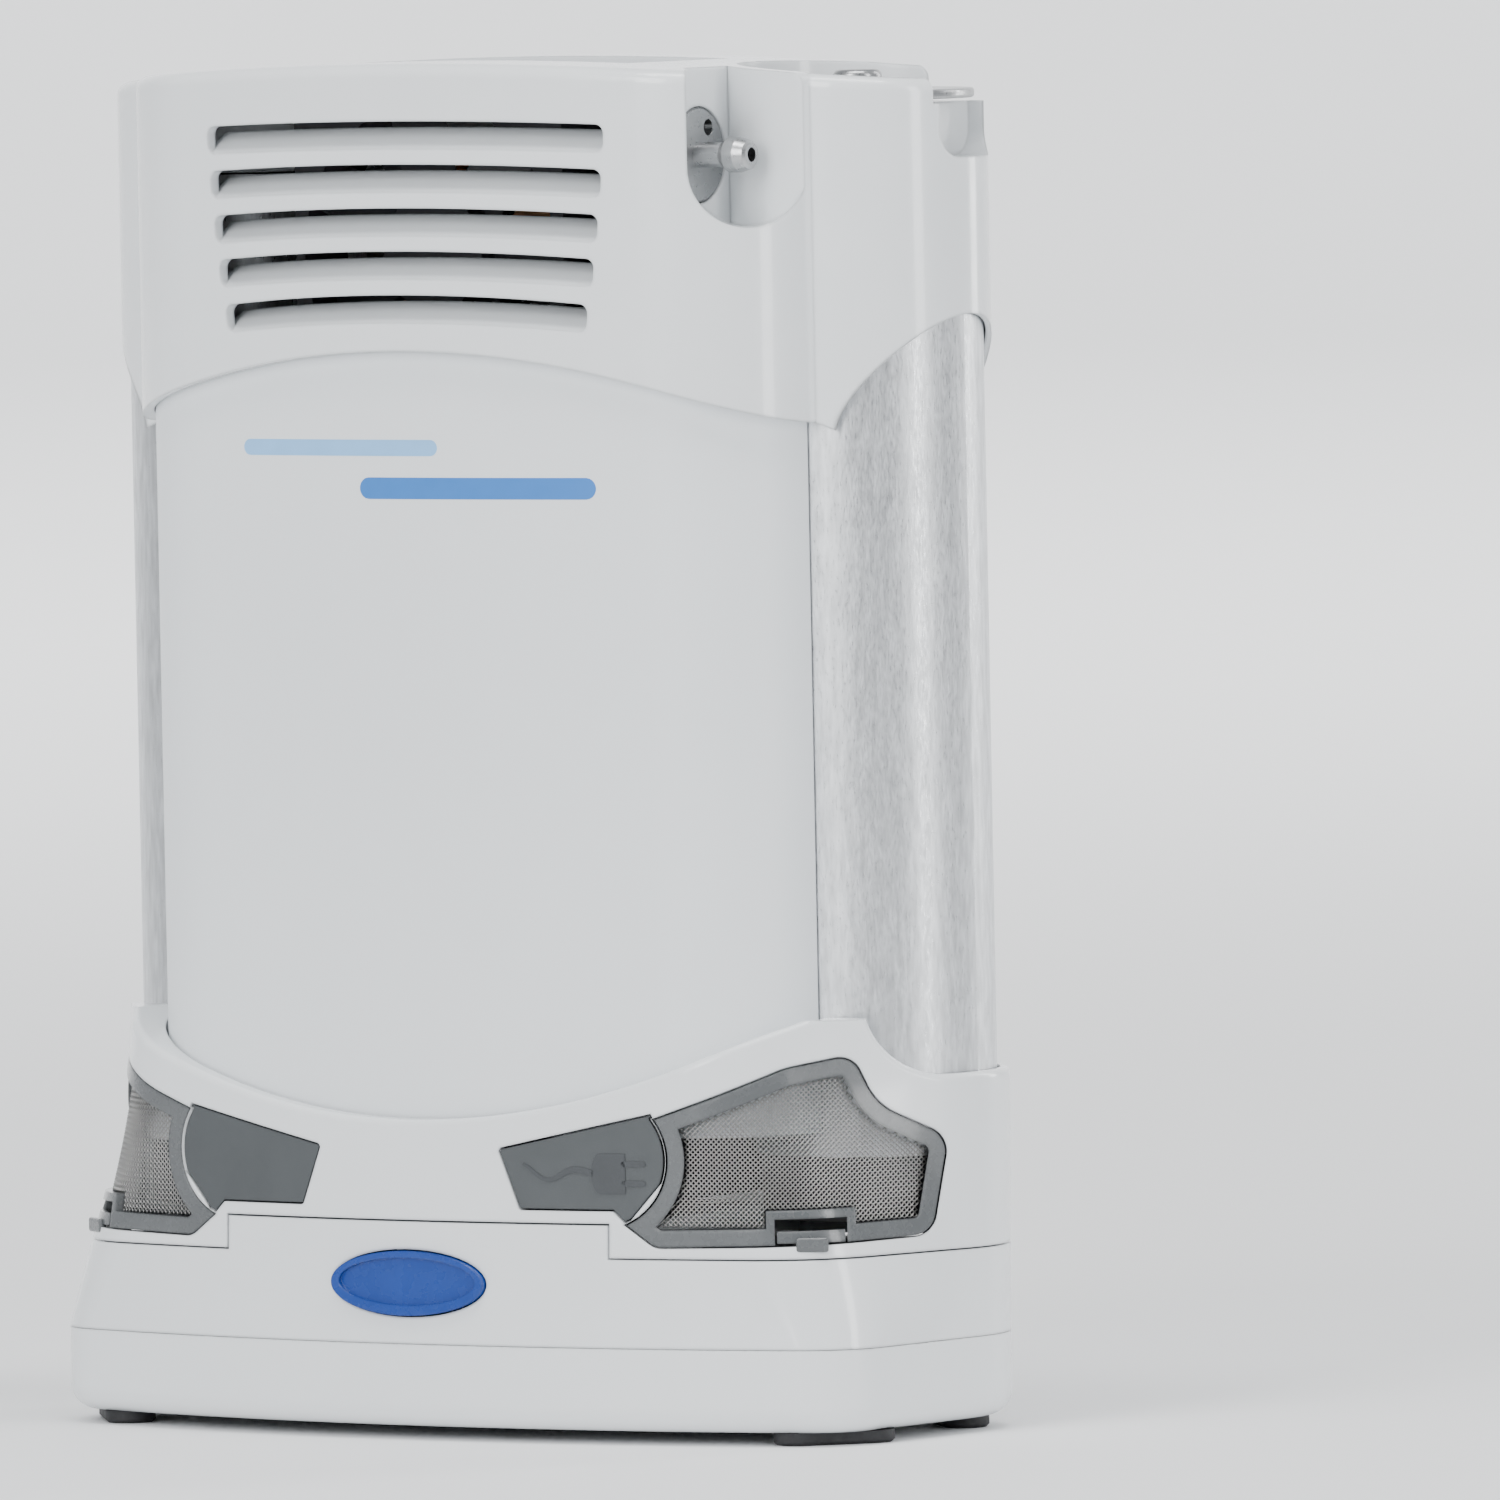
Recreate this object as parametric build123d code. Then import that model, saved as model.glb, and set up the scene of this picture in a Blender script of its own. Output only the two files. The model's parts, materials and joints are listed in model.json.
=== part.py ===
"""Portable oxygen concentrator: body, sieve columns, filters and slide-off battery.

Millimetres. X to the right, Y to the back, Z up. The origin is the centre of the
footprint at the level that the rubber feet stand on.
"""

import os
from math import acos, atan2, cos, degrees, hypot, radians, sin, sqrt

from build123d import *

# Driving dimensions
TOP_Z = 255.3  # crown of the top cap
CROWN_ARC_R = 950.0  # the crown falls gently to both sides
COLUMN_X = 69.1  # sieve column axis
COLUMN_Y = 15.5
TUBE_R = 22.5
FRONT_R = 300.0  # radius of every front face in plan
BACK_Y = 32.0  # hollow of the back face, at the middle
CORNER_TURN = 34.0  # direction that the front corner faces, degrees from the front
WALL = 2.2
HOUSING_WALL = 2.0
GAP = 0.35
PANEL_INSET = 2.5  # panels sit this far inside the cap's face
PANEL_SLIP = 0.5  # and this far inside the housing that they stand in

SHELL_BOTTOM = 2.4  # underside of the battery tray
BATTERY_SEAM = 18.0  # between the battery's tray and its lid
HOUSING_BOTTOM = 34.6  # underside of the lower housing
TONGUE_TOP = 40.6  # the battery lid is higher in the middle
TONGUE_HALF = 42.5
SMILE_Z = 59.5  # lowest point of the housing's top edge
SMILE_R = 160.0
VALLEY_Z = 67.0  # housing's edge beside the columns
PEAK_Z = 77.9  # highest the housing reaches, between the smile and the valley
RIM_R = 1.2  # rounding of the housing's top edge
FROWN_Z = 202.0  # highest point of the cap's lower edge
FROWN_R = 200.0
ARCH_R = 22.5  # cap's lower edge beside the columns
ARCH_Z = 184.8
EAR_TOP = 246.2  # cap's shoulders over the columns
SHOULDER_START = 79.5  # where the shoulders begin, across the front corner's view
CROWN_R = 2.5  # rounding of the crown's edge
TUBE_BOTTOM = 52.0
TUBE_TOP = 234.0

SIDES = {"right": 1, "left": -1}


# Plan outlines

def turn(vector):
    """Direction of a plan vector, in degrees."""
    return degrees(atan2(vector[1], vector[0]))


def plan_face(z, front_y, corner_x, corner_r, ear_r, back_y=BACK_Y, crease=False):
    """Plan of the body: front arc, round corners, ears around the columns, hollow back.

    With crease, the corner meets the ear in a soft valley, else a flat side joins them.
    """
    front_c = (0, front_y + FRONT_R)
    corner_y = front_c[1] - sqrt((FRONT_R - corner_r) ** 2 - corner_x ** 2)
    to_ear = (COLUMN_X - corner_x, COLUMN_Y - corner_y)
    reach = hypot(*to_ear)
    if crease:
        along = (corner_r ** 2 - ear_r ** 2 + reach ** 2) / (2 * reach)
        corner_end = turn(to_ear) - degrees(acos(along / corner_r))
        at = radians(corner_end)
        meet = (corner_x + corner_r * cos(at), corner_y + corner_r * sin(at))
        ear_start = turn((meet[0] - COLUMN_X, meet[1] - COLUMN_Y))
    else:
        corner_end = turn(to_ear) - degrees(acos((corner_r - ear_r) / reach))
        ear_start = corner_end
    corner_start = turn((corner_x, corner_y - front_c[1]))
    hollow = back_y - COLUMN_Y
    back_r = (COLUMN_X ** 2 + hollow ** 2 - ear_r ** 2) / (2 * (ear_r - hollow))
    back_c = (0, back_y + back_r)
    ear_end = turn((-COLUMN_X, back_c[1] - COLUMN_Y))

    right = [
        CenterArc((corner_x, corner_y), corner_r, corner_start, corner_end - corner_start),
        CenterArc((COLUMN_X, COLUMN_Y), ear_r, ear_start, ear_end - ear_start),
    ]
    if not crease:
        right.insert(1, Line(right[0] @ 1, right[1] @ 0))
    left = [edge.mirror(Plane.YZ) for edge in reversed(right)]
    half = 90 + corner_start
    front = CenterArc(front_c, FRONT_R, -90 - half, 2 * half)
    back_half = degrees(atan2(COLUMN_X, back_c[1] - COLUMN_Y))
    back = CenterArc(back_c, back_r, -90 - back_half, 2 * back_half)
    return Pos(0, 0, z) * make_face([front, *right, back, *left])


def body_face(z, grow=0.0):
    """Plan of the cap, grown or shrunk evenly."""
    return plan_face(z, -36 - grow, 46.3, 27.8 + grow, 24 + grow, BACK_Y + grow, crease=True)


def panel_face(z, grow=0.0):
    """Plan of the front and back panels, which sit a little inside the cap."""
    return body_face(z, grow - PANEL_INSET)


# Lower body: height, front face, corner centre, corner radius, ear radius
LOWER_SECTIONS = [
    (BATTERY_SEAM, -40.0, 75.4, 15.0, 24.2),
    (37.0, -38.6, 64.5, 22.0, 24.5),
    (55.0, -38.4, 56.5, 25.0, 24.8),
    (82.0, -38.4, 50.0, 26.9, 25.0),
]


def lower_body(grow=0.0, low=BATTERY_SEAM, high=82.0):
    """The flared lower body as one smooth solid, cut to a range of heights."""
    faces = [
        plan_face(z, front - grow, corner_x, corner_r + grow, ear_r + grow, BACK_Y + grow)
        for z, front, corner_x, corner_r, ear_r in LOWER_SECTIONS
    ]
    solid = loft(faces)
    return solid & Pos(0, 0, (low + high) / 2) * Box(220, 120, high - low)


# Cutting shapes

def cylinder_y(radius, x, z, length=200):
    return Pos(x, 0, z) * Rot(90, 0, 0) * Cylinder(radius, length)


def cylinder_x(radius, x, y, z, length):
    return Pos(x, y, z) * Rot(0, 90, 0) * Cylinder(radius, length)


def tubes(radius, low, high):
    """Both column cylinders at a given radius."""
    one = Pos(COLUMN_X, COLUMN_Y, (low + high) / 2) * Cylinder(radius, high - low)
    return one + one.mirror(Plane.YZ)


def both_sides(shape):
    return shape + shape.mirror(Plane.YZ)


def above_housing(drop=0.0):
    """Everything over the housing's top edge: the smile in front, a valley at each side."""
    smile = cylinder_y(SMILE_R, 0, SMILE_Z + SMILE_R - drop)
    smile += Pos(0, 0, PEAK_Z + 20 - drop) * Box(240, 120, 40)
    front_end, rear_end = -7.4, 60.0
    valley = Pos(90, (front_end + rear_end) / 2, VALLEY_Z + 40 - drop) * Box(80, rear_end - front_end, 80)
    floor_edges = valley.edges().filter_by(Axis.X).group_by(Axis.Z)[0]
    valley = fillet(floor_edges, 13)
    return smile + both_sides(valley)


def below_cap():
    """Everything under the cap's lower edge: the frown in front, an arch at each side."""
    frown = cylinder_y(FROWN_R, 0, FROWN_Z - FROWN_R)
    arch = cylinder_x(ARCH_R, 80, COLUMN_Y, ARCH_Z, 66)
    skirt = Pos(80, COLUMN_Y, ARCH_Z - 15) * Box(66, 2 * ARCH_R, 30)
    return frown + both_sides(arch + skirt)


CORNER_VIEW = Plane(
    origin=(0, 0, 0),
    x_dir=(cos(radians(CORNER_TURN)), sin(radians(CORNER_TURN)), 0),
    z_dir=(sin(radians(CORNER_TURN)), -cos(radians(CORNER_TURN)), 0),
)


def corner_prism(face, start=27, length=70):
    """A face drawn as seen by facing the right front corner, extruded out past it."""
    return extrude(CORNER_VIEW.offset(start) * face, length)


def front_prism(face):
    """A face drawn in front view, extruded through the front of the right half."""
    return extrude(Plane(origin=(0, -20, 0), x_dir=(1, 0, 0), z_dir=(0, -1, 0)) * face, 40)


def sided(shape, side):
    return shape if side == "right" else shape.mirror(Plane.YZ)


def rounded_outline(points, radii):
    """Closed outline through corner points, each rounded by its own radius."""
    outline = make_face(Polyline(*points, close=True))
    for point, radius in zip(points, radii):
        if radius:
            corner = outline.vertices().sort_by_distance(Vector(*point, 0))[0]
            outline = fillet(corner, radius)
    return outline


# Top cap

LOUVRES = [  # top of the opening, half width, how far the ends hang lower
    (244.6, 44.4, 0.9),
    (236.6, 43.8, 1.2),
    (228.5, 43.0, 1.4),
    (220.5, 42.0, 1.6),
    (212.4, 40.6, 1.9),
]
LOUVRE_HEIGHT = 5.2


def front_y(x, face_y=-36.0):
    """Depth of the front face at x."""
    return face_y + FRONT_R - sqrt(FRONT_R ** 2 - x ** 2)


def louvre_path(top, half, hang, depth=0.0):
    """Arc along one louvre, following the bulge of the front."""
    ends = (half, front_y(half) + depth, top - hang)
    return ThreePointArc((-ends[0], ends[1], ends[2]), (0, front_y(0) + depth, top), ends)


def sweep_louvre(profile, path):
    """Sweep a profile drawn in the YZ plane, placed at the path's left end."""
    start = path @ 0
    section = Plane(origin=start, x_dir=Vector(0, 0, 1).cross(path % 0), z_dir=path % 0) * profile
    return sweep(section, path=path)


def louvre_opening(top, half, hang):
    path = louvre_path(top, half, hang)
    hole = sweep_louvre(Pos(0, -LOUVRE_HEIGHT / 2) * Rectangle(12, LOUVRE_HEIGHT), path)
    ends = hole.faces().sort_by(Axis.X)
    corners = [
        edge for face in (ends[0], ends[-1]) for edge in face.edges()
        if abs((edge % 0.5).Z) < 0.3
    ]
    return fillet(corners, 1.7)


def louvre_blade(top, half, hang):
    """Blade rising inwards from the lower lip of its opening."""
    path = louvre_path(top - LOUVRE_HEIGHT, half + 1.5, hang)
    profile = make_face(Polyline((0.4, -1.2), (0.4, 0.1), (6.8, 4.0), (7.6, 2.8), (2.0, -1.2), close=True))
    return sweep_louvre(profile, path)


def cap_outside():
    """Outer form of the cap: crowned top, stepped down to a low shoulder over each column."""
    low, high = 176.0, 262.0
    solid = extrude(body_face(low), high - low) & cylinder_y(CROWN_ARC_R, 0, TOP_Z - CROWN_ARC_R)
    step = CORNER_VIEW * Pos(SHOULDER_START + 20, EAR_TOP + 20, 0) * Box(40, 40, 200)
    solid -= both_sides(step)
    crown = solid.faces().sort_by(Axis.Z)[-1]
    solid = fillet(crown.edges(), CROWN_R)
    return solid - tubes(DISC_POCKET_R, EAR_TOP, high)


def scoop_cut(grow=0.0):
    """Outlet scoop in the right front corner, open to the front and the top."""
    half, middle, low = 11.2 + grow, 45.0, 235.5
    u_shape = Pos(middle, low) * Circle(half) + Pos(middle, low + 15) * Rectangle(2 * half, 30)
    walls = make_face(Polyline(
        (54 - grow, -60), (54 - grow, -2 + grow), (90, -2 + grow), (110, -60), close=True))
    scoop = corner_prism(u_shape) & extrude(Pos(0, 0, 200) * walls, 70)
    return scoop - tubes(SCOOP_BACK_R - grow, 190, 280)


OUTLET = (54.0, -15.3, 237.6)
SCOOP_BACK_R = 25.7  # the scoop's back wall curves around the column
DISC_R = 8.8
LIFT_DISC_R = 21.6
DISC_POCKET_R = LIFT_DISC_R + 0.7


def finger_notch():
    """Notch in the outer wall of a shoulder, under the lifting disc."""
    notch = Pos(94, COLUMN_Y + 5, EAR_TOP - 2) * Box(24, 25, 16)
    return fillet(notch.edges().filter_by(Axis.X).group_by(Axis.Z)[0], 5)


def top_cap():
    outside = cap_outside()
    inner = extrude(body_face(170, -WALL), EAR_TOP - WALL - 170) - tubes(24.5, TUBE_TOP + 0.4, 250)
    crown_room = Pos(0, 0, 225) * Box(2 * 43, 120, 54) & extrude(body_face(200, -WALL), 60)
    crown_room &= cylinder_y(CROWN_ARC_R, 0, TOP_Z - CROWN_ARC_R - WALL)
    shell = outside - (inner - scoop_cut(WALL)) - (crown_room - scoop_cut(WALL))
    shell -= tubes(TUBE_R + 0.4, 160, TUBE_TOP + 0.4)
    shell -= below_cap()
    shell -= scoop_cut()
    shell -= both_sides(finger_notch())
    shell -= cylinder_x(DISC_R + 0.2, OUTLET[0] - 2, OUTLET[1], OUTLET[2], 4)
    shell -= tubes(STEM_R + 0.05, 230, 260)
    for row in LOUVRES:
        shell -= louvre_opening(*row)
        shell += louvre_blade(*row)
    shell -= Pos(0, 4, 254) * Box(PANEL_W, PANEL_D, 10)
    return shell


STEM_R = 3.0
PANEL_W = 74.0
PANEL_D = 34.0


def release_disc():
    """Flat metal disc over a shoulder, lifted by its edge to free the column."""
    disc = Pos(COLUMN_X, COLUMN_Y, 247.9) * Cylinder(LIFT_DISC_R, 1.8)
    disc = fillet(disc.edges(), 0.6)
    return disc - Pos(COLUMN_X, COLUMN_Y, 247.9) * Cylinder(STEM_R, 4)


def release_stem():
    """Pin of the lifting disc, with a round boss on top."""
    pin = Pos(COLUMN_X, COLUMN_Y, 243.0) * Cylinder(STEM_R, 12)
    boss = Pos(COLUMN_X, COLUMN_Y, 250.7) * Cylinder(4.5, 3.7)
    boss = fillet(boss.edges().group_by(Axis.Z)[-1], 1.2)
    return pin + boss


# Panels between the columns

def panel_shell(front):
    """Front or back skin between the columns, from inside the housing to inside the cap."""
    low, high = 56.5, 204.6
    skin = extrude(panel_face(low) - panel_face(low, -2.0), high - low)
    half = Pos(0, -60 if front else 60 + COLUMN_Y + 8, 130) * Box(200, 108 if front else 120, 200)
    skin = skin & half
    skin -= tubes(TUBE_R + GAP, low, high)
    return skin


# Lower housing

FILTER_OUTLINE = [  # as seen by facing the corner: across, up
    (48.5, 69.6), (61.2, 71.6), (65.6, 62.2), (79.0, 55.6), (75.6, 37.4), (24.0, 36.4), (18.3, 40.8),
]
FILTER_ROUNDING = [16, 4.5, 11, 5, 4.5, 4, 0]
FILTER_INNER_TOP = (23.8, 60.4)
FILTER_BULGE = (26.2, 51.0)
MESH_INSET = 3.4


def filter_face(inset=0.0):
    """Outline of a corner filter, with its inner edge bowed around the port cover."""
    straight = Polyline(FILTER_INNER_TOP, *FILTER_OUTLINE)
    bow = ThreePointArc(FILTER_OUTLINE[-1], FILTER_BULGE, FILTER_INNER_TOP)
    outline = make_face([*straight.edges(), bow])
    for point, radius in zip(FILTER_OUTLINE, FILTER_ROUNDING):
        if radius:
            corner = outline.vertices().sort_by_distance(Vector(*point, 0))[0]
            outline = fillet(corner, radius)
    return offset(outline, -inset) if inset else outline


LATCH_S = 52.8  # latch middle, across the corner view
LATCH_W = 13.4
LATCH_Z = 39.2


def latch_window(grow=0.0):
    return Pos(LATCH_S, LATCH_Z) * Rectangle(LATCH_W + 2 * grow, 5.4 + 2 * grow)


PORT_OUTLINE = [(19.7, 54.6), (51.5, 61.4), (56.5, 52.0), (46.3, 40.6), (43.5, 43.2), (24.2, 43.2)]


def port_face(inset=0.0):
    outline = rounded_outline(PORT_OUTLINE, [0.8, 0, 0, 0, 0, 0.8])
    return offset(outline, -inset) if inset else outline


def port_prism(inset=0.0):
    """Port pocket, ended by the bowed edge of the filter beside it."""
    return front_prism(port_face(inset)) - corner_prism(filter_face(-inset - 0.1))


def tongue(grow=0.0):
    """Raised middle of the battery lid."""
    return Pos(0, -10, 30) * Box(2 * (TONGUE_HALF + grow), 80, 2 * (TONGUE_TOP + grow - 30))


def housing_rim(solid):
    """Outer edges of the housing's top, apart from the short crest between smile and valley."""
    flat = solid.faces().filter_by(GeomType.PLANE)
    inside = [edge for face in flat for edge in face.edges() if abs(face.normal_at().Z) < 0.5]
    top = solid.edges().filter_by(lambda e: e.center().Z > SMILE_Z - 1 and e.center().Y < 36)
    middle = top.filter_by(lambda e: abs(e.center().X) < 60 and e.center().Y > 0)
    crest = top.filter_by(lambda e: e.center().Z > PEAK_Z - 0.3)
    skipped = [edge.center() for edge in [*inside, *middle, *crest]]
    return [e for e in top if all((e.center() - point).length > 0.01 for point in skipped)]


def lower_housing():
    outer = lower_body(0, HOUSING_BOTTOM, 82) - above_housing()
    outer = fillet(housing_rim(outer), RIM_R)
    cavity = lower_body(-HOUSING_WALL, HOUSING_BOTTOM - 5, 84) - above_housing(3.2)
    shell = outer - cavity
    shell -= extrude(panel_face(40, PANEL_SLIP), 60)
    shell -= tubes(TUBE_R + 0.6, TUBE_BOTTOM - 2, 100)
    shell -= tongue(GAP)
    for side in SIDES:
        shell -= sided(corner_prism(filter_face()), side)
        shell -= sided(port_prism(), side)
    return shell


def filter_frame():
    """Moulded frame that fills the corner window, with a lip around the mesh."""
    layer = lower_body(-0.1, 34.6, 82) - lower_body(-2.8, 34, 83)
    frame = layer & corner_prism(filter_face(GAP))
    opening = filter_face(MESH_INSET) - latch_window(1.6)
    frame -= corner_prism(opening) + tubes(TUBE_R + GAP, 30, 90)
    return frame - corner_prism(latch_window())


def filter_mesh():
    """Woven wire sheet inside the frame, as one thin curved sheet."""
    layer = lower_body(-1.5, 34.6, 82) - lower_body(-2.0, 34, 83)
    return layer & corner_prism(filter_face(MESH_INSET) - latch_window(1.6))


def filter_latch():
    """Latch bar across its window, with a pull tab below."""
    layer = lower_body(-0.1, 34.6, 82) - lower_body(-1.3, 34, 83)
    bar = Pos(LATCH_S, LATCH_Z - 0.6) * Rectangle(LATCH_W - 0.8, 2.2)
    return layer & corner_prism(bar)


def port_cover():
    layer = lower_body(-0.15, 34.6, 82) - lower_body(-2.3, 34, 83)
    return layer & port_prism(GAP)


# Battery

FEET_FRONT = (79.5, -17.0, 50.0, 23.0, 9.5)  # x, y, turn, length, width
FEET_REAR = (79.0, 26.5, 135.0, 19.0, 9.0)
BUTTON_Z = 29.2
BUTTON_HALF = (17.0, 6.0)
CELL_R = 9.05


def battery_tray():
    section = LOWER_SECTIONS[0]
    z, front, corner_x, corner_r, ear_r = section
    outer = extrude(plan_face(SHELL_BOTTOM, front, corner_x, corner_r, ear_r), z - SHELL_BOTTOM - 0.1)
    outer = fillet(outer.faces().sort_by(Axis.Z)[0].edges(), 4.5)
    inner = plan_face(
        SHELL_BOTTOM + WALL, front + WALL, corner_x, corner_r - WALL, ear_r - WALL, BACK_Y - WALL)
    return outer - extrude(inner, 30)


def battery_lid():
    outer = lower_body(0, BATTERY_SEAM, TONGUE_TOP)
    inner = lower_body(-WALL, BATTERY_SEAM - 1, TONGUE_TOP - WALL)
    shoulders = Pos(TONGUE_HALF + 60, 0, HOUSING_BOTTOM - 0.3 + 20) * Box(120, 200, 40)
    shoulders_in = Pos(TONGUE_HALF - WALL + 60, 0, HOUSING_BOTTOM - 0.3 - WALL + 20) * Box(120, 200, 40)
    step = 2 * (TONGUE_TOP - HOUSING_BOTTOM + 0.3)
    behind = Pos(0, 39.2, TONGUE_TOP) * Box(200, 20, step)
    behind_in = Pos(0, 39.2 - WALL, TONGUE_TOP - WALL) * Box(200, 20, step)
    lid = outer - both_sides(shoulders) - behind
    lid -= inner - both_sides(shoulders_in) - behind_in
    lid += Pos(0, -26.8, 31) * Box(20, 1.6, 16)
    lid -= front_prism_low(Pos(0, BUTTON_Z) * Ellipse(BUTTON_HALF[0] + 0.3, BUTTON_HALF[1] + 0.3))
    lid -= Pos(TERMINAL[0], TERMINAL[1], TERMINAL[2]) * Box(*[size + 0.02 for size in TERMINAL_SIZE])
    return lid


def front_prism_low(face):
    """A front-view face extruded forward from just inside the front wall."""
    return extrude(Plane(origin=(0, -31.0, 0), x_dir=(1, 0, 0), z_dir=(0, -1, 0)) * face, 20)


TERMINAL = (0, 23.2, 38.2)
TERMINAL_SIZE = (30, 6.5, 4.8)


def release_button():
    """Oval push button with a raised rim and a skirt."""
    skirt = front_prism_low(Pos(0, BUTTON_Z) * Ellipse(*BUTTON_HALF))
    skirt &= lower_body(0.9, BATTERY_SEAM, TONGUE_TOP)
    dish = front_prism_low(Pos(0, BUTTON_Z + 0.3) * Ellipse(BUTTON_HALF[0] - 1.8, BUTTON_HALF[1] - 1.6))
    dish -= lower_body(0.1, BATTERY_SEAM, TONGUE_TOP)
    return skirt - dish


def button_pad():
    """Springy rubber dome that pushes the button back."""
    return Pos(0, -28.45, BUTTON_Z) * Rot(90, 0, 0) * Cylinder(3.2, 1.5)


def battery_cells():
    """Six cells in the tray and two nested over them under the raised middle."""
    places = [(x, y, 13.7) for x in (-33.5, 33.5) for y in (-20, 0, 20)]
    places += [(0, y, 29.1) for y in (-10, 10)]
    return Compound(children=[
        Pos(*place) * Rot(0, 90, 0) * Solid.make_cylinder(CELL_R, 65.2, Plane((0, 0, -32.6)))
        for place in places
    ])


def battery_board():
    board = Pos(62, 4, 25.2) * Box(30, 34, 1.6)
    for x, y in ((56, -4), (56, 10), (68, 2)):
        board += Pos(x, y, 27.5) * Box(6, 7, 3.2)
    return board


def foot_pair(spec):
    x, y, angle, length, width = spec
    pad = Pos(x, y) * Rot(0, 0, angle) * SlotOverall(length, width)
    pad = extrude(pad, SHELL_BOTTOM)
    pad = chamfer(pad.edges().group_by(Axis.Z)[0], 0.6)
    return both_sides(pad)


# Columns

def column_tube():
    outer = Cylinder(TUBE_R, TUBE_TOP - TUBE_BOTTOM)
    return Pos(COLUMN_X, COLUMN_Y, (TUBE_TOP + TUBE_BOTTOM) / 2) * (outer - Cylinder(TUBE_R - 1.6, 300))


def column_plug(low, high):
    """End plug inside the tube, with a shallow flange."""
    return Pos(COLUMN_X, COLUMN_Y, (low + high) / 2) * Cylinder(TUBE_R - 1.6, high - low)


def column_bottom():
    plug = column_plug(TUBE_BOTTOM, TUBE_BOTTOM + 8)
    return plug + Pos(COLUMN_X, COLUMN_Y, TUBE_BOTTOM - 3) * Cylinder(5, 6)


def column_socket():
    """Dish that carries a column and seals around its nozzle."""
    dish = Pos(COLUMN_X, COLUMN_Y, 45.9) * (Cylinder(21.4, 12) - Cylinder(5, 14))
    return dish


# Inside the body

def chassis_frame():
    """Lower deck, upper deck and two side webs."""
    frame = Pos(0, -1, 58) * Box(88, 54, 3) + Pos(0, -1, 186) * Box(88, 54, 3)
    frame += both_sides(Pos(43, 4, 122) * Box(2, 34, 128))
    frame += both_sides(Pos(43.5, -3, 51) * Box(5, 30, 14))
    frame -= Pos(HOSE_START[0], HOSE_START[1], 186) * Cylinder(4.5, 10)
    return frame


def compressor_motor():
    body = cylinder_x(20, 0, -2, 91, 52) + Pos(0, -2, 69.5) * Box(52, 26, 7)
    for x in (-16, -8, 0, 8, 16):
        body += cylinder_x(22, x, -2, 91, 2)
    return body


def compressor_head(sign):
    head = Pos(sign * 33.5, -2, 91) * Box(15, 34, 34)
    head = fillet(head.edges().filter_by(Axis.X), 4)
    return head


def isolator(x):
    return Pos(x, -2, 62.7) * (Cylinder(8, 6.4) - Cylinder(2, 10))


def product_tank():
    tank = Pos(-25, 4, 148) * Cylinder(15, 56)
    tank = fillet(tank.edges(), 6)
    return tank + Pos(-25, 4, 177) * Cylinder(3, 4)


def valve_manifold():
    return Pos(16, 6, 126) * Box(44, 28, 16)


def solenoid(x):
    coil = Pos(x, 6, 147) * Box(15, 18, 18)
    return Pos(x, 6, 136) * Cylinder(5, 4) + fillet(coil.edges().filter_by(Axis.Z), 2)


def intake_muffler():
    box = Pos(16, 4, 172) * Box(46, 30, 20)
    return fillet(box.edges().filter_by(Axis.Y), 4)


def main_board():
    board = Pos(0, -26.6, 122) * Box(76, 1.6, 104)
    for x, z, size in ((-20, 150, 9), (-4, 152, 7), (14, 96, 12), (-22, 90, 10), (18, 140, 8)):
        board += Pos(x, -28.6, z) * Box(size, 2.6, size)
    return board


FAN = (0, -18.0, 220.0)
FAN_SIZE = 60.0


def fan_housing():
    frame = Pos(*FAN) * (Box(FAN_SIZE, 14, FAN_SIZE) - Rot(90, 0, 0) * Cylinder(28, 20))
    for angle in (45, 135):
        frame += Pos(FAN[0], FAN[1] + 6, FAN[2]) * Rot(0, angle, 0) * Box(70, 2, 4)
    frame += Pos(FAN[0], FAN[1] + 6, FAN[2]) * Rot(90, 0, 0) * Cylinder(11, 2)
    frame -= Pos(FAN[0], FAN[1] + 6, FAN[2]) * Rot(90, 0, 0) * Cylinder(1.55, 6)
    return frame


def fan_rotor():
    hub = Pos(FAN[0], FAN[1] - 1.5, FAN[2]) * Rot(90, 0, 0) * Cylinder(11, 9)
    axle = Pos(FAN[0], FAN[1] + 4.5, FAN[2]) * Rot(90, 0, 0) * Cylinder(1.5, 5)
    rotor = hub + axle
    for number in range(7):
        blade = Pos(18.5, 0, 0) * Rot(32, 0, 0) * Box(17, 1.4, 10)
        rotor += Pos(FAN[0], FAN[1] - 1.5, FAN[2]) * Rot(0, number * 360 / 7, 0) * blade
    return rotor


HOSE_START = (-25, 4, 179.0)


def swept_tube(points, radius, bend):
    path = FilletPolyline(*points, radius=bend)
    return sweep(Plane(origin=path @ 0, z_dir=path % 0) * Circle(radius), path=path)


def product_hose():
    """Soft tube from the tank to the back of the outlet."""
    return swept_tube([HOSE_START, (-25, 4, 202), (38, 4, 226), (38, OUTLET[1], OUTLET[2]),
                       (50.0, OUTLET[1], OUTLET[2])], 2.6, 6)


def cooling_coil():
    """Serpentine of copper pipe behind the fan."""
    points = []
    for number, z in enumerate((196, 206, 216, 226, 236)):
        ends = (-36, 36) if number % 2 == 0 else (36, -36)
        points += [(ends[0], 19, z), (ends[1], 19, z)]
    return swept_tube(points, 2.5, 4.9)


# Outlet, connectors, control panel

def outlet_disc():
    disc = cylinder_x(DISC_R, OUTLET[0] - 0.9, OUTLET[1], OUTLET[2], 1.8)
    disc = chamfer(disc.edges().group_by(Axis.X)[-1], 0.4)
    disc -= cylinder_x(1.5, OUTLET[0], OUTLET[1] + 3.2, OUTLET[2] + 5.0, 8)
    return disc - cylinder_x(2.35, OUTLET[0], OUTLET[1], OUTLET[2], 8)


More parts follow.
